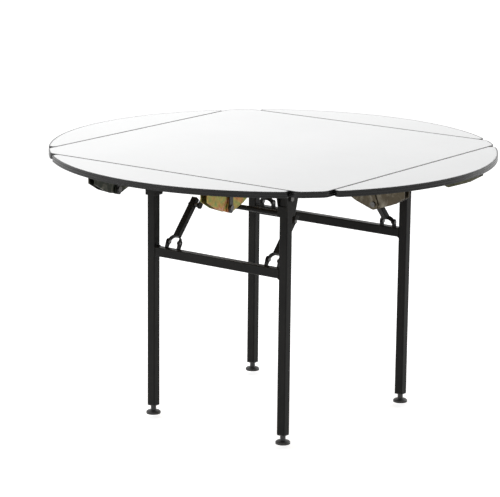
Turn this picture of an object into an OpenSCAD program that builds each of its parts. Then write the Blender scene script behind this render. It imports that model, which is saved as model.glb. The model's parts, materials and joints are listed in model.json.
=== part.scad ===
// Round folding table: a square centre panel with four round leaves that fold under it,
// on two tube leg frames that fold flat against the underside.
// Millimetres. Origin on the floor below the middle of the top, +Z up.
// The front is -Y, and the front frame is the narrower one with the lower crossbar.

/* [Top] */
// Height of the table top above the floor
table_h = 740; // [710:1:770]
// Diameter of the top with all leaves up
round_d = 1220; // [1180:5:1280]
// Width of the square centre panel, from leaf joint to leaf joint
square_w = 912; // [892:4:940]
// Thickness of the panel boards
board_t = 15; // [12:1:22]
// Thickness of the white laminate on the boards
laminate_t = 1; // [0.6:0.1:2]
// Thickness of the plastic edging round each panel
edging_t = 2.5; // [1.5:0.1:3]
// Depth of the two grooves in the edging
groove_depth = 0.7; // [0.3:0.1:0.9]
// Height of each groove in the edging
groove_h = 1.6; // [1:0.1:2.4]
// Radius of the corners of the centre panel
centre_corner_r = 30; // [20:1:60]
// Radius of the tips of the leaves
leaf_corner_r = 13; // [8:1:24]
// Clear gap between the centre panel and a leaf
panel_gap = 1; // [0.4:0.1:2]

/* [Leaf hinges] */
// Distance of each hinge from the middle of its side
hinge_offset = 183; // [174:1:184]
// Drop of the hinge pins below the underside
pin_drop = 51; // [46:1:56]
// Diameter of the hinge pins
pin_d = 8; // [6:0.5:10]
// Diameter of the hinge pin heads
pin_head_d = 14; // [12:0.5:18]
// Thickness of the hinge pin heads
pin_head_t = 3; // [2:0.5:4]
// Length of a hinge arm from the joint
arm_reach = 92; // [70:1:95]
// Height of a hinge arm at its far end
arm_end_h = 25; // [18:1:30]
// Radius of the eye of a hinge arm
arm_eye_r = 14; // [11:0.5:16]
// Thickness of the hinge arm steel
arm_t = 2.5; // [2:0.1:3]
// Half the width between the inner faces of a leaf arm
arm_half_gap = 9; // [7:0.5:11]
// Width of the screwed flange of a hinge arm
arm_flange_w = 56; // [48:1:58]
// Gap between the hinge arm flanges and the leaf joint
arm_joint_gap = 5; // [3:0.5:8]
// Diameter of the wood screw holes
screw_hole_d = 5; // [4:0.5:6]
// Thickness of the clamp levers
lever_t = 3; // [2:0.5:4]
// Radius of the eye of a clamp lever
lever_eye_r = 9; // [8:0.5:11]
// Width of a clamp lever
lever_w = 14; // [10:0.5:16]
// Reach of a clamp lever above the pin
lever_up = 34; // [26:1:38]
// Reach of a clamp lever below the pin
lever_down = 14; // [11:0.5:18]

/* [Leg frames] */
// Width of the square leg tube
tube_w = 25; // [22:1:28]
// Outer corner radius of the leg tubes and crossbars
tube_r = 3; // [2:0.5:4]
// Wall of the leg tube
tube_wall = 1.5; // [1:0.1:2.5]
// Centre distance of the front legs
front_leg_span = 440; // [436:1:444]
// Centre distance of the rear legs
rear_leg_span = 518; // [514:1:528]
// Distance of the front legs from the middle of the table
front_leg_y = 246; // [238:1:254]
// Distance of the rear legs from the middle of the table
rear_leg_y = 270; // [262:1:280]
// Drop of the front leg pivots below the underside
front_pivot_drop = 58; // [55:1:62]
// Drop of the rear leg pivots below the underside
rear_pivot_drop = 26; // [24:1:28]
// Drop of the front crossbar centre below the underside
front_bar_drop = 261; // [250:1:280]
// Drop of the rear crossbar centre below the underside
rear_bar_drop = 235; // [225:1:250]
// Length of a leg tube above its pivot
leg_stub = 16; // [13:0.5:17]
// Diameter of the leg pivot bolts
bolt_d = 8; // [6:0.5:10]
// Width across the flats of the bolt heads
bolt_head_w = 13; // [10:0.5:16]
// Thickness of the leg pivot bolt heads
bolt_head_t = 5; // [3:0.5:6]
// Thickness of the leg bracket steel
bracket_t = 3; // [2:0.5:4]
// Depth of the front leg brackets below the underside
front_bracket_drop = 106; // [96:1:112]
// Depth of the rear leg brackets below the underside
rear_bracket_drop = 66; // [60:1:74]
// Reach of the top of a leg bracket towards the middle
bracket_inner_reach = 50; // [36:1:56]
// Reach of the top of a leg bracket away from the middle
bracket_outer_reach = 30; // [22:1:34]
// Width of the screwed flanges beside a front leg bracket
bracket_flange_w = 14; // [10:0.5:16]

/* [Braces] */
// Slope of the braces from the floor
brace_angle = 48.5; // [47:0.1:50]
// Distance of the front struts inward from the front legs
front_strut_inset = 53; // [50:1:56]
// Distance of the rear struts inward from the rear legs
rear_strut_inset = 52; // [48:1:54]
// Width of a strut tube
strut_w = 18; // [16:0.5:19]
// Thickness of a strut tube across its slope
strut_t = 16; // [14:0.5:17]
// Wall of a strut tube
strut_wall = 1.5; // [1:0.1:2]
// Outer corner radius of a strut tube
strut_r = 2; // [1.6:0.1:3]
// Reach of a strut tube past its knee bolt
strut_over = 20; // [12:1:24]
// Clear width inside the fork at the foot of a strut
fork_gap = 32; // [28:1:34]
// Thickness of the fork strap
fork_t = 2.5; // [2:0.1:3]
// Width of the fork strap
fork_w = 12; // [11:0.5:14]
// Distance from the pivot of a strut to the inside of the fork's arch
fork_l = 18; // [17:1:24]
// Height of the front strut pivots above the front crossbar centre
front_lug_up = 25; // [24:1:28]
// Height of the rear strut pivots above the rear crossbar centre
rear_lug_up = 26; // [24:1:28]
// Distance of the front strut pivots inward from the front crossbar centre
front_lug_in = 23; // [22.5:0.5:26]
// Distance of the rear strut pivots inward from the rear crossbar centre
rear_lug_in = 5; // [3:0.5:10]
// Radius of the ends of the lugs and links
lug_r = 9; // [8:0.5:10]
// Thickness of the lugs on the crossbars
lug_t = 3; // [2:0.5:4]
// Thickness of the upper links
link_t = 5; // [4:0.5:6]
// Diameter of the brace pivot pins
brace_pin_d = 6; // [5:0.5:7]
// Width across the flats of the brace bolt heads
brace_head_w = 10; // [9:0.5:12]
// Thickness of the brace bolt heads
brace_head_t = 3; // [2:0.5:4]
// Diameter of the spacers on the knee bolts
spacer_d = 12; // [10:0.5:16]
// Diameter of the tie bars between the upper links
tie_d = 14; // [12:0.5:15]
// Distance of the tie bars from the knees along the links
tie_offset = 16; // [15:1:30]
// Thickness of the hanger steel
hanger_t = 3; // [2:0.5:4]
// Width of the screwed flange of a hanger
hanger_flange_w = 30; // [24:1:34]
// Length of a hanger along the table
hanger_len = 54; // [44:1:60]

/* [Feet] */
// Diameter of the levelling foot pads
foot_d = 40; // [34:1:44]
// Thickness of the rim of a foot pad
foot_rim_t = 5; // [3:0.5:7]
// Height of the dome of a foot pad above its rim
foot_dome_h = 5; // [3:0.5:7]
// Diameter of the foot neck
neck_d = 15; // [13:0.5:18]
// Gap between the floor and the leg tube
foot_h = 26; // [22:1:30]
// Diameter of the foot screw
foot_screw_d = 10; // [8:0.5:12]
// Length of the foot screw inside the leg
foot_screw_l = 40; // [30:1:50]
// Height of the threaded insert in the leg tube
insert_h = 18; // [14:1:24]
// Thickness of the rim of the insert under the leg tube
insert_rim_t = 2; // [1:0.5:3]

/* [Hidden] */
// Running clearance on radius at every pin
pin_clear = 0.05;
// Gap between faces that move past each other
face_gap = 0.3;
// Overrun of every cut past the face that it opens
cut = 1;
// Fit gap between a plug and the tube round it
plug_gap = 0.1;
// Thickness of the caps on the open tops of the leg tubes
cap_t = 2;
// Depth of a cap or plug inside its tube
cap_plug_h = 8;
// Share of the arm length at each row of screw holes
screw_row_shares = [0.3, 0.85];
// Share of the flange width at each screw hole, from its middle
screw_side_share = 0.37;
// Shares of the panel thickness at the middle of each edging groove
groove_shares = [0.3, 0.7];
// Depth by which the foot of a strut tube reaches below the top of its fork's arch
strut_seat = 0.8;
fork_bend_z = brace_head_w / sqrt(3) + face_gap;
// Share of the link end radius at the waist of an upper link
link_waist_share = 0.8;
// Shares of the leg tube width by which a bracket stands out at its mouth and at half depth
bracket_mouth_shares = [0.74, 0.88];
// Share of the bracket depth where its back edge turns upright
bracket_step_share = 0.76;
// Shares of the arm reach and pin drop at the belly of a hinge arm
arm_belly_shares = [0.59, 0.92];
// Share of the pad radius that the dome of a foot reaches
foot_dome_share = 0.86;

round_r = round_d / 2;
half_square = square_w / 2;
panel_t = board_t + laminate_t;
under_z = table_h - panel_t;
pin_z = under_z - pin_drop;
leaf_web_x = arm_half_gap;
base_web_x = leaf_web_x + arm_t + face_gap;
lever_x = base_web_x + arm_t + face_gap;
pin_head_x = lever_x + lever_t + face_gap;
pin_tail_x = base_web_x + arm_t;
leg_half = tube_w / 2;
cheek_x = leg_half + face_gap;
front_x = front_leg_span / 2;
rear_x = rear_leg_span / 2;
front_pivot_z = under_z - front_pivot_drop;
rear_pivot_z = under_z - rear_pivot_drop;
front_bar_z = under_z - front_bar_drop;
rear_bar_z = under_z - rear_bar_drop;
front_strut_x = front_x - front_strut_inset;
rear_strut_x = rear_x - rear_strut_inset;
fork_x = fork_gap / 2;
lug_x = fork_x + fork_t + face_gap;
link_x = lug_x + lug_t + face_gap;
hanger_x = link_x + link_t + face_gap;

SIDES = ["front", "right", "back", "left"];
ENDS = ["a", "b"];
LEGS = ["left", "right"];

// Height of the strut pivots above the floor, and their distance from the middle
front_lug_z = front_bar_z + front_lug_up;
rear_lug_z = rear_bar_z + rear_lug_up;
front_lug_y = front_leg_y - front_lug_in;
rear_lug_y = rear_leg_y - rear_lug_in;

// The knee brace is straight when the legs are down and lies flat when they are folded:
// its upper pivot is level with the folded strut pivot
front_top_z = front_pivot_z + front_lug_in;
rear_top_z = rear_pivot_z + rear_lug_in;
function brace_span(top_z, lug_z) = (top_z - lug_z) / sin(brace_angle);
front_span = brace_span(front_top_z, front_lug_z);
rear_span = brace_span(rear_top_z, rear_lug_z);
front_top_y = front_lug_y - front_span * cos(brace_angle);
rear_top_y = rear_lug_y - rear_span * cos(brace_angle);
front_folded_y = front_leg_y - (front_pivot_z - front_lug_z);
rear_folded_y = rear_leg_y - (rear_pivot_z - rear_lug_z);
front_link_l = (front_span - front_top_y + front_folded_y) / 2;
rear_link_l = (rear_span - rear_top_y + rear_folded_y) / 2;
front_strut_l = front_span - front_link_l;
rear_strut_l = rear_span - rear_link_l;

// Helpers

// Turns front-side geometry to side i, counted from the front
module on_side(i) rotate([0, 0, 90 * i]) children();

// Repeats its children at both hinges of the front side
module at_hinges() {
    for (s = [-1, 1]) translate([s * hinge_offset, 0, 0]) children();
}

// Stands an outline drawn in (y, z) up as a plate from x to x + t
module plate_yz(x, t) translate([x, 0, 0]) rotate([90, 0, 90]) linear_extrude(t) children();

// A cylinder along X from x to x + l through (y, z)
module rod_x(x, l, y, z, d) translate([x, y, z]) rotate([0, 90, 0]) cylinder(h = l, d = d, $fn = 48);

// A hexagon bolt head or nut along X from x
module hex_x(x, t, y, z, w) {
    translate([x, y, z]) rotate([0, 90, 0]) cylinder(h = t, d = w / cos(30), $fn = 6);
}

// Point where the tangent from p meets a circle at c of radius r, on side s
function tangent(p, c, r, s) =
    let (
        v = p - c,
        a = atan2(v[1], v[0]) + s * acos(r / norm(v))
    )
    c + r * [cos(a), sin(a)];

// Rectangle a by b about the origin with corners of radius r
module round_rect(a, b, r) {
    square([a - 2 * r, b], center = true);
    square([a, b - 2 * r], center = true);
    for (x = [-1, 1], y = [-1, 1]) translate([x * (a / 2 - r), y * (b / 2 - r)]) circle(r = r, $fn = 32);
}

// Section of a rectangular tube a by b with outer corner radius r
module tube_section(a, b, r, wall) {
    difference() {
        round_rect(a, b, r);
        round_rect(a - 2 * wall, b - 2 * wall, r - wall);
    }
}

// Outline of a bar with round ends between p and q, r wide at its ends and w at its waist
module link_outline(p, q, r, w) {
    n = (q - p) / norm(q - p);
    side = [-n[1], n[0]];
    for (c = [p, q]) translate(c) circle(r = r, $fn = 48);
    polygon([
        p + side * r, p + n * r + side * w, q - n * r + side * w, q + side * r,
        q - side * r, q - n * r - side * w, p + n * r - side * w, p - side * r
    ]);
}

// Top panels

// Centre of a corner of radius r that touches the rim from inside, at height y and at most at x_max
function corner_centre(y, r, x_max) = [min(sqrt(pow(round_r - r, 2) - pow(y, 2)), x_max), y];

// Outline of the centre panel, drawn in by inset
module centre_outline(inset) {
    side = half_square - centre_corner_r;
    c = corner_centre(side, centre_corner_r, side);
    difference() {
        intersection() {
            circle(r = round_r - inset, $fn = 240);
            square(square_w - 2 * inset, center = true);
        }
        for (i = [0:3], s = [-1, 1])
            rotate(90 * i) polygon([[s * c[0], c[1]], [s * c[0], round_r], [s * c[0], c[1]] * round_d / c[1]]);
    }
    for (i = [0:3], s = [-1, 1])
        rotate(90 * i) translate([s * c[0], c[1]]) circle(r = centre_corner_r - inset, $fn = 64);
}

// Outline of the front leaf, drawn in by inset, which never reaches past its quarter of the top
module leaf_outline(inset) {
    joint_y = half_square + panel_gap + inset;
    side = half_square + panel_gap + leaf_corner_r;
    c = corner_centre(side, leaf_corner_r, side - leaf_corner_r * sqrt(2) - panel_gap);
    ends = [[c[0], -side], [-c[0], -side]];
    intersection() {
        circle(r = round_r - inset, $fn = 240);
        polygon([
            [-c[0], -joint_y], ends[1], ends[1] * round_d / side,
            ends[0] * round_d / side, ends[0], [c[0], -joint_y]
        ]);
    }
    for (end = ends) translate(end) circle(r = leaf_corner_r - inset, $fn = 64);
}

module panel_board() translate([0, 0, under_z]) linear_extrude(board_t) children();

module panel_laminate() translate([0, 0, under_z + board_t]) linear_extrude(laminate_t) children();

// Edging from an outer outline, an inner one and the outline at the bottom of the grooves
module panel_edging() {
    difference() {
        translate([0, 0, under_z]) linear_extrude(panel_t) children(0);
        translate([0, 0, under_z - cut]) linear_extrude(panel_t + 2 * cut) children(1);
        for (share = groove_shares) {
            translate([0, 0, under_z + panel_t * share - groove_h / 2])
            linear_extrude(groove_h) difference() {
                circle(r = round_d, $fn = 48);
                children(2);
            }
        }
    }
}

module centre_board() color("tan") panel_board() centre_outline(edging_t);

module centre_laminate() color("white") panel_laminate() centre_outline(edging_t);

module centre_edging() {
    color("black") panel_edging() {
        centre_outline(0);
        centre_outline(edging_t);
        centre_outline(groove_depth);
    }
}

module leaf_board(i) color("tan") on_side(i) panel_board() leaf_outline(edging_t);

module leaf_laminate(i) color("white") on_side(i) panel_laminate() leaf_outline(edging_t);

module leaf_edging(i) {
    color("black") on_side(i) panel_edging() {
        leaf_outline(0);
        leaf_outline(edging_t);
        leaf_outline(groove_depth);
    }
}

// Leaf hinges

// Side outline of a hinge arm that runs away from the joint, at y 0, in the direction dir
module arm_outline(dir) {
    eye = [0, pin_z];
    inner = [dir * arm_joint_gap, under_z];
    outer = [dir * arm_reach, under_z];
    corner = [dir * arm_reach, under_z - arm_end_h];
    belly = [dir * arm_reach * arm_belly_shares[0], under_z - pin_drop * arm_belly_shares[1]];
    difference() {
        union() {
            polygon([
                inner, outer, corner, belly,
                tangent(belly, eye, arm_eye_r, -dir),
                eye,
                tangent(inner, eye, arm_eye_r, dir)
            ]);
            translate(eye) circle(r = arm_eye_r, $fn = 64);
        }
        translate(eye) circle(d = pin_d + 2 * pin_clear, $fn = 48);
    }
}

// A pressed steel arm: two webs at web_x and a flange that is screwed to the panel
module hinge_arm(dir, web_x) {
    flange_l = arm_reach - arm_joint_gap;
    translate([0, -half_square - panel_gap / 2, 0]) {
        for (x = [-web_x - arm_t, web_x]) plate_yz(x, arm_t) arm_outline(dir);
        difference() {
            translate([-arm_flange_w / 2, min(dir * arm_joint_gap, dir * arm_reach), under_z - arm_t])
                cube([arm_flange_w, flange_l, arm_t]);
            for (share = screw_row_shares, s = [-1, 1])
                translate([s * arm_flange_w * screw_side_share, dir * arm_reach * share, under_z])
                    cylinder(h = 3 * arm_t, d = screw_hole_d, center = true, $fn = 24);
        }
    }
}

module hinge_bases(i) color("darkkhaki") on_side(i) at_hinges() hinge_arm(1, base_web_x);

module leaf_arms(i) color("darkkhaki") on_side(i) at_hinges() hinge_arm(-1, leaf_web_x);

module hinge_pins() {
    pin_y = -half_square - panel_gap / 2;
    color("silver") for (i = [0:3]) on_side(i) at_hinges() {
        rod_x(-pin_tail_x, pin_tail_x + pin_head_x, pin_y, pin_z, pin_d);
        rod_x(pin_head_x, pin_head_t, pin_y, pin_z, pin_head_d);
        rod_x(-pin_tail_x - pin_head_t, pin_head_t, pin_y, pin_z, pin_head_d);
    }
}

// Clamp lever on the end of a hinge pin
module clamp_lever(i, s) {
    pin_y = -half_square - panel_gap / 2;
    end_r = lever_w / 2;
    color("black") on_side(i) translate([s * hinge_offset, pin_y, pin_z])
    plate_yz(lever_x, lever_t) difference() {
        union() {
            circle(r = lever_eye_r, $fn = 64);
            link_outline([0, end_r - lever_down], [0, lever_up - end_r], end_r, end_r);
        }
        circle(d = pin_d + 2 * pin_clear, $fn = 48);
    }
}

// Leg frames: mirrored by dir, which is 1 for the front frame and -1 for the rear frame

// Leg tube with a hole for its pivot bolt
module leg_tube(x, y, pivot_z) {
    tube_l = pivot_z + leg_stub - foot_h;
    color("dimgray") translate([x, y, 0]) difference() {
        translate([0, 0, foot_h]) linear_extrude(tube_l) tube_section(tube_w, tube_w, tube_r, tube_wall);
        rod_x(-leg_half - cut, tube_w + 2 * cut, 0, pivot_z, bolt_d + 2 * pin_clear);
    }
}

// Side outline of a lug that stands on the top and inner face of a crossbar at y and bar_z
module lug_outline(y, bar_z, lug_y, lug_z) {
    dir = sign(lug_y - y);
    pivot = [lug_y, lug_z];
    heel_in = min(leg_half - tube_r, abs(lug_y - y) - lug_r);
    heel = [y + dir * heel_in, bar_z + leg_half];
    toe = [y + dir * leg_half, bar_z - leg_half + tube_r];
    difference() {
        union() {
            polygon([
                [heel[0], heel[1] - tube_wall], heel, tangent(heel, pivot, lug_r, -dir), pivot,
                tangent(toe, pivot, lug_r, dir), toe, [toe[0] - dir * tube_wall, toe[1]]
            ]);
            translate(pivot) circle(r = lug_r, $fn = 48);
        }
        translate(pivot) circle(d = brace_pin_d + 2 * pin_clear, $fn = 48);
        translate([y, bar_z]) square(tube_w - 2 * tube_wall, center = true);
    }
}

// Crossbar with the two pairs of lugs that carry the struts
module crossbar(x, y, bar_z, strut_x, lug_y, lug_z) {
    length = 2 * x - tube_w;
    color("dimgray") {
        translate([-length / 2, y, bar_z]) rotate([90, 0, 90])
            linear_extrude(length) tube_section(tube_w, tube_w, tube_r, tube_wall);
        for (s = [-1, 1], plate_x = [-lug_x - lug_t, lug_x])
            plate_yz(s * strut_x + plate_x, lug_t) lug_outline(y, bar_z, lug_y, lug_z);
    }
}

// Short bolts that join each leg of a strut's fork to its lug, with their nuts inside the fork.
// Their ends are flush with the lugs on the side of the links, and have heads on the other side.
module strut_bolts(strut_x, lug_y, lug_z) {
    length = fork_t + face_gap + lug_t;
    color("silver") for (m = [0, 1]) mirror([m, 0, 0]) {
        for (start = [-fork_x - length, fork_x])
            rod_x(strut_x + start, length, lug_y, lug_z, brace_pin_d);
        for (start = [-fork_x, fork_x - brace_head_t, fork_x + length])
            hex_x(strut_x + start, brace_head_t, lug_y, lug_z, brace_head_w);
    }
}

// Bottom insert and top cap in both leg tubes of a frame
module leg_inserts(x, y, pivot_z) {
    plug_w = tube_w - 2 * tube_wall - 2 * plug_gap;
    plug_r = tube_r - tube_wall;
    top_z = pivot_z + leg_stub;
    color("black") for (s = [-1, 1]) translate([s * x, y, 0]) {
        difference() {
            union() {
                translate([0, 0, foot_h]) linear_extrude(insert_h) round_rect(plug_w, plug_w, plug_r);
                translate([0, 0, foot_h - insert_rim_t])
                    linear_extrude(insert_rim_t) round_rect(tube_w, tube_w, tube_r);
            }
            translate([0, 0, foot_h - insert_rim_t - cut])
                cylinder(h = insert_rim_t + insert_h + 2 * cut, d = foot_screw_d + 2 * pin_clear, $fn = 48);
        }
        translate([0, 0, top_z]) linear_extrude(cap_t) round_rect(tube_w, tube_w, tube_r);
        translate([0, 0, top_z - cap_plug_h]) linear_extrude(cap_plug_h) round_rect(plug_w, plug_w, plug_r);
    }
}

// Side cheek of a leg bracket around a leg at y, wide under the top and narrow at its mouth
module cheek_outline(y, dir, pivot_z, drop) {
    back = leg_half + face_gap + bracket_t;
    difference() {
        polygon([
            [y - dir * bracket_outer_reach, under_z], [y + dir * bracket_inner_reach, under_z],
            [y + dir * tube_w * bracket_mouth_shares[0], under_z - drop],
            [y - dir * back, under_z - drop], [y - dir * back, under_z - drop * bracket_step_share],
            [y - dir * tube_w * bracket_mouth_shares[1], under_z - drop / 2]
        ]);
        translate([y, pivot_z]) circle(d = bolt_d + 2 * pin_clear, $fn = 48);
    }
}

// Folded steel bracket: two cheeks, two flanges and the web that stops the leg
module leg_brackets(x, y, dir, pivot_z, drop) {
    length = bracket_outer_reach + bracket_inner_reach;
    web_y = y - dir * (leg_half + face_gap + bracket_t / 2);
    web_top = pivot_z - leg_stub - cap_t - bracket_t;
    mouth_z = under_z - drop;
    color("dimgray") for (s = [-1, 1]) translate([s * x, 0, 0]) {
        for (plate_x = [-cheek_x - bracket_t, cheek_x])
            plate_yz(plate_x, bracket_t) cheek_outline(y, dir, pivot_z, drop);
        translate([-cheek_x, web_y - bracket_t / 2, mouth_z])
            cube([2 * cheek_x, bracket_t, web_top - mouth_z]);
        translate([
            s > 0 ? -cheek_x - bracket_t - bracket_flange_w : cheek_x + bracket_t,
            y + dir * (bracket_inner_reach - bracket_outer_reach) / 2 - length / 2,
            under_z - bracket_t
        ]) cube([bracket_flange_w, length, bracket_t]);
    }
}

// Pivot bolts of all four legs, with a head outside and a nut inside
module leg_pivot_bolts() {
    reach = cheek_x + bracket_t;
    pivots = [[front_x, -front_leg_y, front_pivot_z], [rear_x, rear_leg_y, rear_pivot_z]];
    color("silver") for (p = pivots) {
        for (s = [-1, 1]) translate([s * p[0], 0, 0]) {
            rod_x(-reach, 2 * reach, p[1], p[2], bolt_d);
            hex_x(reach, bolt_head_t, p[1], p[2], bolt_head_w);
            hex_x(-reach - bolt_head_t, bolt_head_t, p[1], p[2], bolt_head_w);
        }
    }
}

// Braces

// Fork at the foot of a strut, in the strut's own axes with the pivot at the origin
module strut_fork() {
    outer = fork_x + fork_t;
    bend_r = fork_l - fork_bend_z;
    bend_x = fork_x - bend_r;
    difference() {
        union() {
            translate([0, fork_w / 2, 0]) rotate([90, 0, 0]) linear_extrude(fork_w) {
                for (m = [0, 1]) mirror([m, 0, 0]) intersection() {
                    translate([bend_x, fork_bend_z]) difference() {
                        circle(r = bend_r + fork_t, $fn = 96);
                        circle(r = bend_r, $fn = 96);
                    }
                    translate([bend_x, fork_bend_z]) square(outer);
                }
                translate([-bend_x, fork_l]) square([2 * bend_x, fork_t]);
                for (x = [-outer, fork_x]) translate([x, 0]) square([fork_t, fork_bend_z]);
            }
            for (x = [-outer, fork_x]) rod_x(x, fork_t, 0, 0, fork_w);
        }
        rod_x(-outer - cut, 2 * outer + 2 * cut, 0, 0, brace_pin_d + 2 * pin_clear);
    }
}

// Lower strut: a square tube with a fork at its foot, from its lug pivot past the knee
module struts(strut_x, lug_y, lug_z, dir, length) {
    foot_z = fork_l + strut_seat;
    bore = brace_pin_d + 2 * pin_clear;
    color("dimgray") for (s = [-1, 1]) {
        translate([s * strut_x, lug_y, lug_z]) rotate([-dir * (90 - brace_angle), 0, 0]) {
            strut_fork();
            difference() {
                translate([0, 0, foot_z]) linear_extrude(length + strut_over - foot_z)
                    tube_section(strut_w, strut_t, strut_r, strut_wall);
                rod_x(-strut_w / 2 - cut, strut_w + 2 * cut, 0, length, bore);
            }
        }
    }
}

// Flat upper links from the hanger pins to the knees, inside the struts
module links(strut_x, top_y, top_z, dir, length) {
    knee = [top_y + dir * length * cos(brace_angle), top_z - length * sin(brace_angle)];
    top = [top_y, top_z];
    color("dimgray") for (s = [-1, 1]) {
        plate_yz(s > 0 ? strut_x - link_x - link_t : link_x - strut_x, link_t) difference() {
            link_outline(top, knee, lug_r, lug_r * link_waist_share);
            translate(top) circle(d = brace_pin_d + 2 * pin_clear, $fn = 48);
        }
    }
}

// Tie bar between the two upper links, a little above the knees
module tie_bar(strut_x, top_y, top_z, dir, length) {
    half = strut_x - link_x - link_t;
    reach = length - tie_offset;
    color("dimgray") rod_x(
        -half, 2 * half,
        top_y + dir * reach * cos(brace_angle), top_z - reach * sin(brace_angle), tie_d
    );
}

// Knee bolts through the struts, with a spacer that fills the space up to the link
module knee_bolts(strut_x, lug_y, lug_z, dir, length) {
    knee_y = lug_y + dir * length * cos(brace_angle);
    knee_z = lug_z + length * sin(brace_angle);
    half = strut_w / 2;
    color("silver") for (m = [0, 1]) mirror([m, 0, 0]) {
        rod_x(strut_x - half, strut_w, knee_y, knee_z, brace_pin_d);
        hex_x(strut_x + half, brace_head_t, knee_y, knee_z, brace_head_w);
        rod_x(strut_x - link_x + face_gap, link_x - face_gap - half, knee_y, knee_z, spacer_d);
    }
}

// Hangers under the top that carry the upper ends of the links, on their inner side
module brace_hangers(strut_x, top_y, top_z) {
    plate_x = strut_x - hanger_x - hanger_t;
    color("dimgray") for (s = [-1, 1]) {
        plate_yz(s > 0 ? plate_x : -plate_x - hanger_t, hanger_t) difference() {
            union() {
                polygon([
                    [top_y - hanger_len / 2, under_z], [top_y + hanger_len / 2, under_z],
                    tangent([top_y + hanger_len / 2, under_z], [top_y, top_z], lug_r, -1),
                    [top_y, top_z],
                    tangent([top_y - hanger_len / 2, under_z], [top_y, top_z], lug_r, 1)
                ]);
                translate([top_y, top_z]) circle(r = lug_r, $fn = 48);
            }
            translate([top_y, top_z]) circle(d = brace_pin_d + 2 * pin_clear, $fn = 48);
        }
        translate([
            s > 0 ? plate_x - hanger_flange_w + hanger_t : -plate_x - hanger_t,
            top_y - hanger_len / 2, under_z - hanger_t
        ]) cube([hanger_flange_w, hanger_len, hanger_t]);
    }
}

// Pins through the hangers and the upper links, flush with the links where the lugs fold past
module hanger_pins() {
    length = hanger_t + face_gap + link_t;
    tops = [[front_strut_x, -front_top_y, front_top_z], [rear_strut_x, rear_top_y, rear_top_z]];
    color("silver") for (p = tops) {
        start = p[0] - hanger_x - hanger_t;
        for (m = [0, 1]) mirror([m, 0, 0]) {
            rod_x(start, length, p[1], p[2], brace_pin_d);
            rod_x(start - brace_head_t, brace_head_t, p[1], p[2], spacer_d);
        }
    }
}

// Levelling foot: pad, neck and the screw that runs in the insert
module foot(x, y) {
    neck_top = foot_h - insert_rim_t - face_gap;
    color("black") translate([x, y, 0]) rotate_extrude($fn = 64) polygon([
        [0, 0], [foot_d / 2, 0], [foot_d / 2, foot_rim_t],
        [foot_d / 2 * foot_dome_share, foot_rim_t + foot_dome_h / 2],
        [neck_d / 2, foot_rim_t + foot_dome_h], [neck_d / 2, neck_top],
        [foot_screw_d / 2, neck_top], [foot_screw_d / 2, foot_h + foot_screw_l],
        [0, foot_h + foot_screw_l]
    ]);
}

centre_board();
centre_laminate();
centre_edging();
for (i = [0:3]) {
    hinge_bases(i);
    leaf_board(i);
    leaf_laminate(i);
    leaf_edging(i);
    leaf_arms(i);
    for (e = [0, 1]) {
        clamp_lever(i, 2 * e - 1);
    }
}
hinge_pins();
leg_brackets(front_x, -front_leg_y, 1, front_pivot_z, front_bracket_drop);  // leg_brackets_front
leg_brackets(rear_x, rear_leg_y, -1, rear_pivot_z, rear_bracket_drop);  // leg_brackets_rear
brace_hangers(front_strut_x, -front_top_y, front_top_z);  // brace_hangers_front
brace_hangers(rear_strut_x, rear_top_y, rear_top_z);  // brace_hangers_rear
leg_pivot_bolts();
hanger_pins();
for (e = [0, 1]) {
    s = 2 * e - 1;
    leg_tube(s * front_x, -front_leg_y, front_pivot_z);
    leg_tube(s * rear_x, rear_leg_y, rear_pivot_z);
    foot(s * front_x, -front_leg_y);
    foot(s * rear_x, rear_leg_y);
}
crossbar(front_x, -front_leg_y, front_bar_z, front_strut_x, -front_lug_y, front_lug_z);  // crossbar_front
crossbar(rear_x, rear_leg_y, rear_bar_z, rear_strut_x, rear_lug_y, rear_lug_z);  // crossbar_rear
strut_bolts(front_strut_x, -front_lug_y, front_lug_z);  // strut_bolts_front
strut_bolts(rear_strut_x, rear_lug_y, rear_lug_z);  // strut_bolts_rear
leg_inserts(front_x, -front_leg_y, front_pivot_z);  // leg_inserts_front
leg_inserts(rear_x, rear_leg_y, rear_pivot_z);  // leg_inserts_rear
struts(front_strut_x, -front_lug_y, front_lug_z, 1, front_strut_l);  // struts_front
struts(rear_strut_x, rear_lug_y, rear_lug_z, -1, rear_strut_l);  // struts_rear
knee_bolts(front_strut_x, -front_lug_y, front_lug_z, 1, front_strut_l);  // knee_bolts_front
knee_bolts(rear_strut_x, rear_lug_y, rear_lug_z, -1, rear_strut_l);  // knee_bolts_rear
links(front_strut_x, -front_top_y, front_top_z, -1, front_link_l);  // links_front
links(rear_strut_x, rear_top_y, rear_top_z, 1, rear_link_l);  // links_rear
tie_bar(front_strut_x, -front_top_y, front_top_z, -1, front_link_l);  // tie_bar_front
tie_bar(rear_strut_x, rear_top_y, rear_top_z, 1, rear_link_l);  // tie_bar_rear
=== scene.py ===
"""Round folding table: finishes, small fasteners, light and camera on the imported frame."""

import json
import math

import bmesh
import bpy
from mathutils import Matrix, Vector


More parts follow.
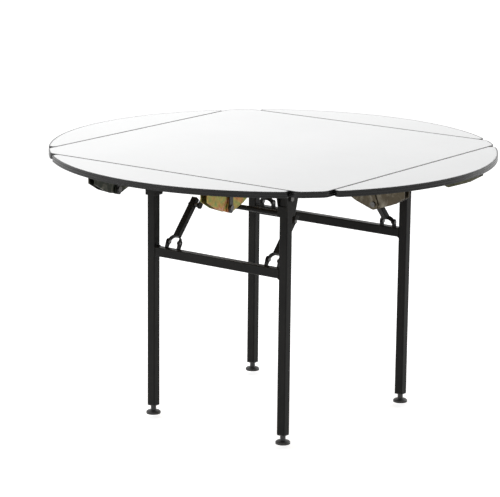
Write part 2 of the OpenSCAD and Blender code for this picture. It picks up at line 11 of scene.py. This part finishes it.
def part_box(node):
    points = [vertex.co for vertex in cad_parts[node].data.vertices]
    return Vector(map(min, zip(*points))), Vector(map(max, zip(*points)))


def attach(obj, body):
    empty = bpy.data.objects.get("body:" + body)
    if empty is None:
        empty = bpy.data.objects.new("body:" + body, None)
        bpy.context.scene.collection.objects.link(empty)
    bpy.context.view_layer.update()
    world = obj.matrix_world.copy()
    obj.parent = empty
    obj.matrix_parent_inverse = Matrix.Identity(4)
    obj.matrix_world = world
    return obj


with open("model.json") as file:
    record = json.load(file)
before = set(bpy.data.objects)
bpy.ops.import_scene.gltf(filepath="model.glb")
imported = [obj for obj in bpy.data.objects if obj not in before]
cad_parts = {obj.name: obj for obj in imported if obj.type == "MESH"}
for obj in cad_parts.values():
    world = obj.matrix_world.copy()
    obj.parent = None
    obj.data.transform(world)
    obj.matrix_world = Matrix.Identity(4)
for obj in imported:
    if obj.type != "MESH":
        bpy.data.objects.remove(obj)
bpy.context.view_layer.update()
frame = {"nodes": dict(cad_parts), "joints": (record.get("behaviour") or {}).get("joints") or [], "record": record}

# Camera, found from the photograph's rim, leaf joints, legs and feet
PICTURE_W = 500
FOCAL_PX = 2257.6
SENSOR_MM = 36
CAMERA_AT = (3.53014, -4.92067, 1.86664)
CAMERA_TURN = 0.63228
CAMERA_DIP = 0.22914
CAMERA_ROLL = 0.01028
CAMERA_REACH = 50

# Floor and light: a softbox has its place, aim, size and power
FLOOR_HALF = 12
FLOOR_Z = -0.0125  # under the pads when they are screwed right out
FLOOR_GLOW = 0.7
FILL_LIGHT = 0.45
BACKDROP_LIGHT = 1.0
SOFTBOXES = {
    "over": ((-1.1, 0.2, 2.6), (-0.3, 0.1, 0.7), (1.8, 1.8), 28),
    "key": ((-1.6, -2.9, 1.8), (0, 0, 0.6), (2.4, 0.5), 30),
    "side": ((1.2, 3.0, 1.8), (0, 0, 0.6), (2.0, 0.5), 20),
}

# Screws, metres and shares of the head's radius and height
SCREW_HEAD_D = 0.0085
SCREW_HEAD_T = 0.0026
SCREW_STEPS = 20
SCREW_TURN = 1.9  # from one screw to the next, so that their recesses differ
HEAD_PROFILE = ((0, -1), (0.5, -1), (0.5, 0), (1, 0), (1, 0.35), (0.86, 0.7), (0.5, 0.95), (0, 1))
RECESS_W = 0.0011
RECESS_REACH = 0.55
RECESS_HEIGHTS = (0.9, 1.02)
RECESS_TAPER = (0.9, 0.6)

# Places of the screws in the flanges: thickness and inset in metres, the rest as shares
ARM_FLANGE_T = 0.0025
BRACKET_FLANGE_T = 0.003
BRACKET_SCREW_INSET = 0.007
HANGER_SCREW_INSET = 0.012
ARM_SCREW_SIDE_SHARE = 0.37
ARM_SCREW_ROW_SHARES = (0.3, 0.85)
BRACKET_SCREW_SHARES = (0.15, 0.5, 0.85)
HANGER_SCREW_SHARES = (0.18, 0.82)

# Weld beads, metres and shares of the bead's radius
WELD_R = 0.0022
WELD_RIPPLE = 0.0025
WELD_STEPS = 8
WELD_SWELL = (0.85, 1.15)
WELD_INSET = 0.2

# Angles over which an edge stays sharp
SCREW_SHARP = 0.6
WELD_SHARP = 1.2

# The hinge that keeps the plating's own colours, and how far they reach; the other hinges get painted shade
LIT_HINGE_AT = (0.19, -0.46, 0.69)
LIT_REACH = (0.13, 0.25)


# Materials


class Shader:
    """A node tree with a Principled shader and short calls for what it needs."""

    def __init__(self, name):
        self.material = bpy.data.materials.new(name)
        self.material.use_nodes = True
        self.tree = self.material.node_tree
        self.bsdf = self.tree.nodes["Principled BSDF"]
        self.place = self.add("ShaderNodeTexCoord").outputs["Object"]

    def add(self, kind, **settings):
        node = self.tree.nodes.new(kind)
        for key, value in settings.items():
            setattr(node, key, value)
        return node

    def put(self, socket, value):
        """Links a socket or sets a constant on a node's input."""
        if isinstance(value, bpy.types.NodeSocket):
            self.tree.links.new(value, socket)
        else:
            socket.default_value = value

    def set(self, **inputs):
        """Sets the Principled shader's inputs, named with underscores."""
        for key, value in inputs.items():
            self.put(self.bsdf.inputs[key.replace("_", " ")], value)

    def stretched(self, scale):
        node = self.add("ShaderNodeMapping")
        self.put(node.inputs["Vector"], self.place)
        self.put(node.inputs["Scale"], scale)
        return node.outputs["Vector"]

    def noise(self, scale, detail=3.0, roughness=0.5, place=None, distortion=0.0):
        node = self.add("ShaderNodeTexNoise")
        self.put(node.inputs["Vector"], place or self.place)
        self.put(node.inputs["Scale"], scale)
        self.put(node.inputs["Detail"], detail)
        self.put(node.inputs["Roughness"], roughness)
        self.put(node.inputs["Distortion"], distortion)
        return node.outputs["Fac"]

    def spread(self, value, low, high, to_low=0.0, to_high=1.0):
        """Maps low..high of a value to to_low..to_high, clamped."""
        node = self.add("ShaderNodeMapRange")
        names = ("Value", "From Min", "From Max", "To Min", "To Max")
        for name, number in zip(names, (value, low, high, to_low, to_high)):
            self.put(node.inputs[name], number)
        return node.outputs["Result"]

    def math(self, operation, first, second):
        node = self.add("ShaderNodeMath", operation=operation)
        self.put(node.inputs[0], first)
        self.put(node.inputs[1], second)
        return node.outputs["Value"]

    def mix(self, share, first, second):
        """Mixes two colours; sockets 6 and 7 are the node's colour inputs."""
        node = self.add("ShaderNodeMix", data_type="RGBA")
        self.put(node.inputs[0], share)
        self.put(node.inputs[6], first)
        self.put(node.inputs[7], second)
        return node.outputs[2]

    def ramp(self, value, stops):
        """A colour ramp over stops of (place, colour)."""
        node = self.add("ShaderNodeValToRGB")
        self.put(node.inputs["Fac"], value)
        elements = node.color_ramp.elements
        while len(elements) < len(stops):
            elements.new(0.5)
        for element, (at, colour) in zip(elements, stops):
            element.position = at
            element.color = colour
        return node.outputs["Color"]

    def rounded(self, radius):
        """The normal with edges rounded by the given radius."""
        node = self.add("ShaderNodeBevel", samples=6)
        self.put(node.inputs["Radius"], radius)
        return node.outputs["Normal"]

    def edge_mask(self, radius, low, high):
        """1 where an edge is near, 0 on flat faces."""
        dot = self.add("ShaderNodeVectorMath", operation="DOT_PRODUCT")
        self.put(dot.inputs[0], self.rounded(radius))
        self.put(dot.inputs[1], self.add("ShaderNodeNewGeometry").outputs["Normal"])
        return self.spread(dot.outputs["Value"], high, low)

    def bump(self, height, distance, strength=1.0, normal=None):
        node = self.add("ShaderNodeBump")
        self.put(node.inputs["Height"], height)
        self.put(node.inputs["Distance"], distance)
        self.put(node.inputs["Strength"], strength)
        if normal is not None:
            self.put(node.inputs["Normal"], normal)
        self.put(self.bsdf.inputs["Normal"], node.outputs["Normal"])


def rgb(red, green, blue):
    return (red, green, blue, 1.0)


def white_laminate():
    """Satin white laminate; a dark band along its edges is partly its dark core and partly painted shade of the
    joint gaps.
    """
    clean, cloudy = rgb(0.86, 0.865, 0.865), rgb(0.83, 0.835, 0.835)
    core_and_gap_shade = rgb(0.03, 0.03, 0.03)
    s = Shader("white_laminate")
    cloud = s.noise(3.0, 4.0)
    scuff = s.noise(9.0, 8.0, 0.7, s.stretched((1.0, 6.0, 1.0)), 0.6)
    fine = s.noise(900.0, 2.0)
    white = s.mix(s.spread(cloud, 0.35, 0.7), clean, cloudy)
    dulled = s.spread(scuff, 0.45, 0.75, 0.0, 0.1)
    s.set(
        # The dark edge band is the laminate's core and also painted shade of the gaps between the panels
        Base_Color=s.mix(s.edge_mask(0.0042, 0.8, 0.99), white, core_and_gap_shade),
        Roughness=s.math("ADD", dulled, s.spread(fine, 0.3, 0.7, 0.3, 0.36)),
        Coat_Weight=0.15,
        Coat_Roughness=0.25,
    )
    grain = s.math("ADD", fine, s.math("MULTIPLY", s.noise(240.0, 3.0), 0.8))
    s.bump(grain, 0.00008, 0.6, s.rounded(0.0005))
    return s.material


def black_edging():
    """Glossy black plastic with a little dust."""
    clean, dusty = rgb(0.008, 0.008, 0.008), rgb(0.02, 0.02, 0.018)
    s = Shader("black_edging")
    along = s.noise(40.0, 4.0, 0.6, s.stretched((1.0, 1.0, 12.0)))
    dust = s.noise(160.0, 6.0, 0.7)
    s.set(
        Base_Color=s.mix(s.spread(dust, 0.5, 0.8), clean, dusty),
        Roughness=s.spread(along, 0.3, 0.7, 0.2, 0.3),
        Specular_IOR_Level=0.3,
    )
    s.bump(along, 0.00005, 0.05, s.rounded(0.0012))
    return s.material


def raw_board():
    """Bare board with grain along X."""
    dark, middle, light = rgb(0.30, 0.20, 0.11), rgb(0.46, 0.33, 0.20), rgb(0.58, 0.44, 0.29)
    s = Shader("raw_board")
    grain = s.noise(7.0, 8.0, 0.65, s.stretched((14.0, 1.2, 1.2)), 0.8)
    pore = s.noise(90.0, 6.0, 0.7, s.stretched((9.0, 1.0, 1.0)))
    figure = s.math("ADD", s.math("MULTIPLY", grain, 0.75), s.math("MULTIPLY", pore, 0.25))
    s.set(
        Base_Color=s.ramp(figure, [(0.3, dark), (0.48, middle), (0.7, light)]),
        Roughness=s.spread(pore, 0.3, 0.7, 0.55, 0.8),
    )
    s.bump(pore, 0.0004, 0.6)
    return s.material


def black_paint():
    """Black powder paint with chipped edges."""
    fresh, worn = rgb(0.0135, 0.0135, 0.0131), rgb(0.019, 0.019, 0.018)
    primer = rgb(0.06, 0.058, 0.056)
    s = Shader("black_paint")
    peel = s.noise(1400.0, 2.0)
    cloud = s.noise(14.0, 5.0, 0.6)
    edges = s.edge_mask(0.0014, 0.86, 0.995)
    chips = s.math("MULTIPLY", edges, s.spread(s.noise(75.0, 7.0, 0.75), 0.6, 0.68))
    paint = s.mix(s.spread(cloud, 0.35, 0.7), fresh, worn)
    chipped = s.math("MULTIPLY", chips, 0.1)
    s.set(
        Base_Color=s.mix(chips, paint, primer),
        Roughness=s.math("ADD", s.spread(cloud, 0.3, 0.7, 0.27, 0.4), chipped),
        Specular_IOR_Level=0.08,
    )
    texture = s.math("ADD", peel, s.math("MULTIPLY", s.noise(420.0, 3.0), 0.8))
    s.bump(texture, 0.00012, 0.7, s.rounded(0.0016))
    return s.material


def yellow_zinc():
    """Yellow passivated zinc in its own colours near one hinge; elsewhere painted shade of brown, olive or black,
    with painted sheen.
    """
    rainbow = [
        (0.3, rgb(0.12, 0.20, 0.07)),
        (0.42, rgb(0.24, 0.25, 0.07)),
        (0.52, rgb(0.36, 0.25, 0.07)),
        (0.62, rgb(0.38, 0.15, 0.06)),
        (0.72, rgb(0.42, 0.34, 0.27)),
    ]
    brown, olive, black = (
        rgb(0.075, 0.062, 0.042), rgb(0.085, 0.086, 0.055), rgb(0.028, 0.032, 0.025)
    )
    painted_sheen, grime = rgb(0.30, 0.28, 0.23), rgb(0.05, 0.045, 0.035)
    s = Shader("yellow_zinc")
    drift = s.noise(26.0, 4.0, 0.55, None, 1.6)
    stain = s.noise(120.0, 7.0, 0.7)
    bright = s.ramp(drift, rainbow)
    axes = s.add("ShaderNodeSeparateXYZ")
    s.put(axes.inputs[0], s.place)
    right, back = axes.outputs["X"], axes.outputs["Y"]
    # Painted shade by position: black on the left side, brown at the front right, olive at the back right
    right_side = s.mix(s.spread(back, -0.1, 0.1), brown, olive)
    shaded_tint = s.mix(s.spread(right, -0.1, 0.25), black, right_side)
    # Pale patches mixed in at random are a painted sheen on the shaded hinges
    shaded_tint = s.mix(s.spread(drift, 0.5, 0.75, 0.0, 0.55), shaded_tint, painted_sheen)
    far = s.add("ShaderNodeVectorMath", operation="DISTANCE")
    s.put(far.inputs[0], s.place)
    s.put(far.inputs[1], LIT_HINGE_AT)
    # Away from the lit hinge the painted shade takes over from the plating's own colours
    tint = s.mix(s.spread(far.outputs["Value"], *LIT_REACH), bright, shaded_tint)
    s.set(
        Base_Color=s.mix(s.spread(stain, 0.5, 0.75, 0.0, 0.6), tint, grime),
        Metallic=0.9,
        Roughness=s.spread(stain, 0.3, 0.7, 0.28, 0.5),
    )
    s.bump(s.noise(700.0, 4.0), 0.0001, 0.7, s.rounded(0.0009))
    return s.material


def bolt_steel():
    """Dark steel of bolts, pins and screws."""
    dark, light = rgb(0.08, 0.08, 0.08), rgb(0.15, 0.145, 0.14)
    s = Shader("bolt_steel")
    turned = s.noise(300.0, 5.0, 0.6, s.stretched((0.3, 1.0, 1.0)))
    s.set(
        Base_Color=s.mix(s.spread(turned, 0.35, 0.7), dark, light),
        Metallic=1.0,
        Roughness=s.spread(turned, 0.3, 0.7, 0.28, 0.45),
    )
    s.bump(turned, 0.0001, 0.6, s.rounded(0.0008))
    return s.material


def black_plastic(name, base, smooth, rough):
    """Moulded black plastic, roughness from smooth to rough, paler where its edges are worn."""
    scraped = rgb(0.05, 0.049, 0.047)
    s = Shader(name)
    grain = s.noise(1100.0, 3.0, 0.6)
    cloud = s.noise(60.0, 5.0)
    edges = s.edge_mask(0.001, 0.85, 0.99)
    worn = s.math("MULTIPLY", edges, s.spread(s.noise(130.0, 5.0), 0.45, 0.7))
    s.set(
        Base_Color=s.mix(worn, base, scraped),
        Roughness=s.spread(cloud, 0.3, 0.7, smooth, rough),
    )
    s.bump(grain, 0.0001, 0.8, s.rounded(0.001))
    return s.material


FINISHES = {
    "white_laminate": white_laminate(),
    "black_edging": black_edging(),
    "board": raw_board(),
    "black_paint": black_paint(),
    "yellow_zinc": yellow_zinc(),
    "bolt_steel": bolt_steel(),
    "black_foot": black_plastic("black_foot", rgb(0.014, 0.014, 0.014), 0.36, 0.5),
    "lever_plastic": black_plastic("lever_plastic", rgb(0.012, 0.012, 0.012), 0.3, 0.42),
}


def finish_cad_nodes():
    for part in frame["record"]["subparts"]:
        mesh = frame["nodes"][part["node"]].data
        mesh.materials.clear()
        mesh.materials.append(FINISHES[part["material_slot"]])


# Fasteners


def as_piece(name, mesh, body, slot, sharp_over):
    """Makes an object of a bmesh, gives it its finish and lets it ride on a body."""
    data = bpy.data.meshes.new(name)
    mesh.normal_update()
    mesh.to_mesh(data)
    mesh.free()
    data.materials.append(FINISHES[slot])
    for face in data.polygons:
        face.use_smooth = True
    data.set_sharp_from_angle(angle=sharp_over)
    piece = bpy.data.objects.new(name, data)
    bpy.context.scene.collection.objects.link(piece)
    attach(piece, body)


def circle(radius, height, steps):
    """Points of a circle round Z, or the one point on Z where the radius is 0."""
    if radius == 0:
        return [Vector((0, 0, height))]
    turns = [math.tau * k / steps for k in range(steps)]
    return [Vector((radius * math.cos(a), radius * math.sin(a), height)) for a in turns]


def add_revolved(mesh, profile, place, steps):
    """Adds a closed shape of revolution: profile holds (radius, height) from bottom to top."""
    rings = [
        [mesh.verts.new(place @ point) for point in circle(radius, height, steps)]
        for radius, height in profile
    ]
    for low, high in zip(rings, rings[1:]):
        for k in range(steps):
            n = (k + 1) % steps
            if len(low) == 1:
                mesh.faces.new((low[0], high[n], high[k]))
            elif len(high) == 1:
                mesh.faces.new((low[k], low[n], high[0]))
            else:
                mesh.faces.new((low[k], low[n], high[n], high[k]))


def add_screw(mesh, place):
    """A pan-head wood screw, its head standing along place's +Z, with a cross recess."""
    r, t, w = SCREW_HEAD_D / 2, SCREW_HEAD_T, RECESS_W
    add_revolved(mesh, [(r * a, t * b) for a, b in HEAD_PROFILE], place, SCREW_STEPS)
    reach = r * RECESS_REACH
    corners = [(-reach, -w / 2), (reach, -w / 2), (reach, w / 2), (-reach, w / 2)]
    low, high = (t * share for share in RECESS_HEIGHTS)
    narrow, thin = RECESS_TAPER
    for turn in (0, math.pi / 2):
        spin = place @ Matrix.Rotation(turn, 4, "Z")
        base = [mesh.verts.new(spin @ Vector((x, y, low))) for x, y in corners]
        top = [mesh.verts.new(spin @ Vector((x * narrow, y * thin, high))) for x, y in corners]
        mesh.faces.new(base[::-1])
        mesh.faces.new(top)
        for k in range(4):
            n = (k + 1) % 4
            mesh.faces.new((base[k], base[n], top[n], top[k]))


def solid_boxes(node):
    """The boxes of a node's separate solids, as (low, high) corners."""
    mesh = bmesh.new()
    mesh.from_mesh(frame["nodes"][node].data)
    bmesh.ops.remove_doubles(mesh, verts=mesh.verts, dist=1e-6)
    left, boxes = set(mesh.verts), []
    while left:
        stack = [left.pop()]
        found = []
        while stack:
            vert = stack.pop()
            found.append(vert.co.copy())
            for edge in vert.link_edges:
                other = edge.other_vert(vert)
                if other in left:
                    left.remove(other)
                    stack.append(other)
        boxes.append((
            Vector([min(c[k] for c in found) for k in range(3)]),
            Vector([max(c[k] for c in found) for k in range(3)]),
        ))
    mesh.free()
    return sorted(boxes, key=lambda pair: (round(pair[0].x, 4), round(pair[0].y, 4)))


def add_screws_under(body, places):
    """Screws driven up into the top or a leaf, so their heads face down."""
    face_down = Matrix.Rotation(math.pi, 4, "X")
    mesh = bmesh.new()
    for index, place in enumerate(places):
        spin = Matrix.Rotation(index * SCREW_TURN, 4, "Z")
        add_screw(mesh, Matrix.Translation(place) @ face_down @ spin)
    as_piece(f"screws_{body}", mesh, body, "bolt_steel", SCREW_SHARP)


def arm_screw_places(node, joint, under_z):
    """Two rows of two screws in each arm of a node, counted away from the leaf's joint."""
    pivot = Vector(joint["pos_m"])
    axis = Vector(joint["axis"])
    places = []
    for low, high in solid_boxes(node):
        middle = (low + high) / 2
        along = axis * axis.dot(middle - pivot)
        reach = (middle - pivot) - along
        reach.z = 0
        away = reach.normalized()
        far = max(abs((corner - pivot).dot(away)) for corner in (low, high))
        half = abs((high - low).dot(axis)) / 2
        for share in ARM_SCREW_ROW_SHARES:
            for side in (-1, 1):
                aside = axis * side * 2 * half * ARM_SCREW_SIDE_SHARE
                spot = pivot + along + away * far * share + aside
                places.append((spot.x, spot.y, under_z - ARM_FLANGE_T))
    return places


def flange_screw_places(node, inset, shares, under_z):
    """A row of screws beside the inner edge of each bracket or hanger in a node."""
    places = []
    for low, high in solid_boxes(node):
        x = low.x + inset if high.x > 0 else high.x - inset
        for share in shares:
            places.append((x, low.y + (high.y - low.y) * share, under_z - BRACKET_FLANGE_T))
    return places


def add_all_screws():
    under_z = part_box("centre_board")[0][2]
    joints = {joint["child"]: joint for joint in frame["joints"]}
    top_places = []
    for side in ("front", "right", "back", "left"):
        leaf = f"leaf_{side}"
        top_places += arm_screw_places(f"hinge_bases_{side}", joints[leaf], under_z)
        add_screws_under(leaf, arm_screw_places(f"leaf_arms_{side}", joints[leaf], under_z))
    for end in ("front", "rear"):
        top_places += flange_screw_places(
            f"leg_brackets_{end}", BRACKET_SCREW_INSET, BRACKET_SCREW_SHARES, under_z)
    for end in ("front", "rear"):
        top_places += flange_screw_places(
            f"brace_hangers_{end}", HANGER_SCREW_INSET, HANGER_SCREW_SHARES, under_z)
    add_screws_under("top", top_places)


def add_weld(mesh, points):
    """A rippled weld bead along a closed ring of points."""
    path = []
    for a, b in zip(points, points[1:] + points[:1]):
        steps = max(2, round((b - a).length / WELD_RIPPLE))
        path += [a.lerp(b, k / steps) for k in range(steps)]
    turns = [math.tau * n / WELD_STEPS for n in range(WELD_STEPS)]
    rings = []
    for k, spot in enumerate(path):
        ahead = (path[(k + 1) % len(path)] - path[k - 1]).normalized()
        across = Vector((1, 0, 0)) if abs(ahead.x) < 0.9 else Vector((0, 0, 1))
        side = ahead.cross(across).normalized()
        lift = ahead.cross(side)
        r = WELD_R * WELD_SWELL[k % 2]
        rings.append([
            mesh.verts.new(spot + side * r * math.cos(a) + lift * r * math.sin(a)) for a in turns
        ])
    for low, high in zip(rings, rings[1:] + rings[:1]):
        for n in range(WELD_STEPS):
            m = (n + 1) % WELD_STEPS
            mesh.faces.new((low[n], low[m], high[m], high[n]))


def add_frame_welds(body, bar, leg):
    """Weld beads where a crossbar as thick as the legs meets the two legs of its frame."""
    mesh = bmesh.new()
    (_, leg_y0, _), (_, leg_y1, _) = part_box(leg)
    low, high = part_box(bar)
    z0, z1 = low[2], low[2] + leg_y1 - leg_y0
    ring = [(leg_y0, z0), (leg_y1, z0), (leg_y1, z1), (leg_y0, z1)]
    for x in (low[0], high[0]):
        inset = WELD_R * WELD_INSET * (1 if x < 0 else -1)
        add_weld(mesh, [Vector((x + inset, y, z)) for y, z in ring])
    as_piece(f"welds_{body}", mesh, body, "black_paint", WELD_SHARP)


finish_cad_nodes()
add_all_screws()
add_frame_welds("front_frame", "crossbar_front", "leg_tube_front_left")
add_frame_welds("rear_frame", "crossbar_rear", "leg_tube_rear_left")


# Floor, light and camera


def seen_as_backdrop(tree):
    """1 for rays from the camera and for gloss and transmission, which show the plain backdrop."""
    ray = tree.nodes.new("ShaderNodeLightPath")
    seen = ray.outputs["Is Camera Ray"]
    for kind in ("Is Glossy Ray", "Is Transmission Ray"):
        either = tree.nodes.new("ShaderNodeMath")
        either.operation = "MAXIMUM"
        tree.links.new(seen, either.inputs[0])
        tree.links.new(ray.outputs[kind], either.inputs[1])
        seen = either.outputs[0]
    return seen


def studio_floor():
    """White with the table's shadow, and clear when it is looked through from below."""
    s = Shader("studio_floor")
    s.set(Base_Color=rgb(0.8, 0.8, 0.8), Roughness=0.9)
    glow = s.add("ShaderNodeEmission")
    s.put(glow.inputs["Color"], rgb(1.0, 1.0, 1.0))
    s.put(glow.inputs["Strength"], FLOOR_GLOW)
    lit = s.add("ShaderNodeAddShader")
    s.put(lit.inputs[0], s.bsdf.outputs[0])
    s.put(lit.inputs[1], glow.outputs[0])
    blend = s.add("ShaderNodeMixShader")
    s.put(blend.inputs[0], seen_as_backdrop(s.tree))
    s.put(blend.inputs[1], s.bsdf.outputs[0])
    s.put(blend.inputs[2], lit.outputs[0])
    side = s.add("ShaderNodeMixShader")
    s.put(side.inputs[0], s.add("ShaderNodeNewGeometry").outputs["Backfacing"])
    s.put(side.inputs[1], blend.outputs[0])
    s.put(side.inputs[2], s.add("ShaderNodeBsdfTransparent").outputs[0])
    s.put(s.tree.nodes["Material Output"].inputs["Surface"], side.outputs[0])
    return s.material


def add_floor():
    mesh = bmesh.new()
    bmesh.ops.create_grid(mesh, x_segments=1, y_segments=1, size=FLOOR_HALF)
    data = bpy.data.meshes.new("floor")
    mesh.to_mesh(data)
    mesh.free()
    data.materials.append(studio_floor())
    floor = bpy.data.objects.new("floor", data)
    floor.location = (0, 0, FLOOR_Z)
    bpy.context.scene.collection.objects.link(floor)


def add_softbox(name, place, aim, size, power):
    light = bpy.data.lights.new(name, "AREA")
    light.shape = "RECTANGLE"
    light.size, light.size_y = size
    light.energy = power
    box = bpy.data.objects.new(name, light)
    box.location = place
    box.rotation_euler = (Vector(aim) - Vector(place)).to_track_quat("-Z", "Y").to_euler()
    bpy.context.scene.collection.objects.link(box)


def add_world():
    """Soft white fill light, with a plain white backdrop where it is seen."""
    world = bpy.data.worlds.new("studio")
    world.use_nodes = True
    tree = world.node_tree
    fill = tree.nodes["Background"]
    backdrop = tree.nodes.new("ShaderNodeBackground")
    for node, strength in ((fill, FILL_LIGHT), (backdrop, BACKDROP_LIGHT)):
        node.inputs["Color"].default_value = rgb(1.0, 1.0, 1.0)
        node.inputs["Strength"].default_value = strength
    blend = tree.nodes.new("ShaderNodeMixShader")
    tree.links.new(seen_as_backdrop(tree), blend.inputs[0])
    tree.links.new(fill.outputs[0], blend.inputs[1])
    tree.links.new(backdrop.outputs[0], blend.inputs[2])
    tree.links.new(blend.outputs[0], tree.nodes["World Output"].inputs["Surface"])
    bpy.context.scene.world = world


def add_camera():
    data = bpy.data.cameras.new("camera")
    data.sensor_width = SENSOR_MM
    data.lens = FOCAL_PX / PICTURE_W * SENSOR_MM
    data.clip_end = CAMERA_REACH
    camera = bpy.data.objects.new("camera", data)
    camera.location = CAMERA_AT
    turn = Matrix.Rotation(CAMERA_TURN, 4, "Z")
    dip = Matrix.Rotation(math.pi / 2 - CAMERA_DIP, 4, "X")
    roll = Matrix.Rotation(CAMERA_ROLL, 4, "Z")
    camera.rotation_euler = (turn @ dip @ roll).to_euler()
    bpy.context.scene.collection.objects.link(camera)
    bpy.context.scene.camera = camera


add_floor()
add_world()
for box_name, (place, aim, size, power) in SOFTBOXES.items():
    add_softbox(box_name, place, aim, size, power)
add_camera()

bpy.context.scene.view_settings.view_transform = "Standard"
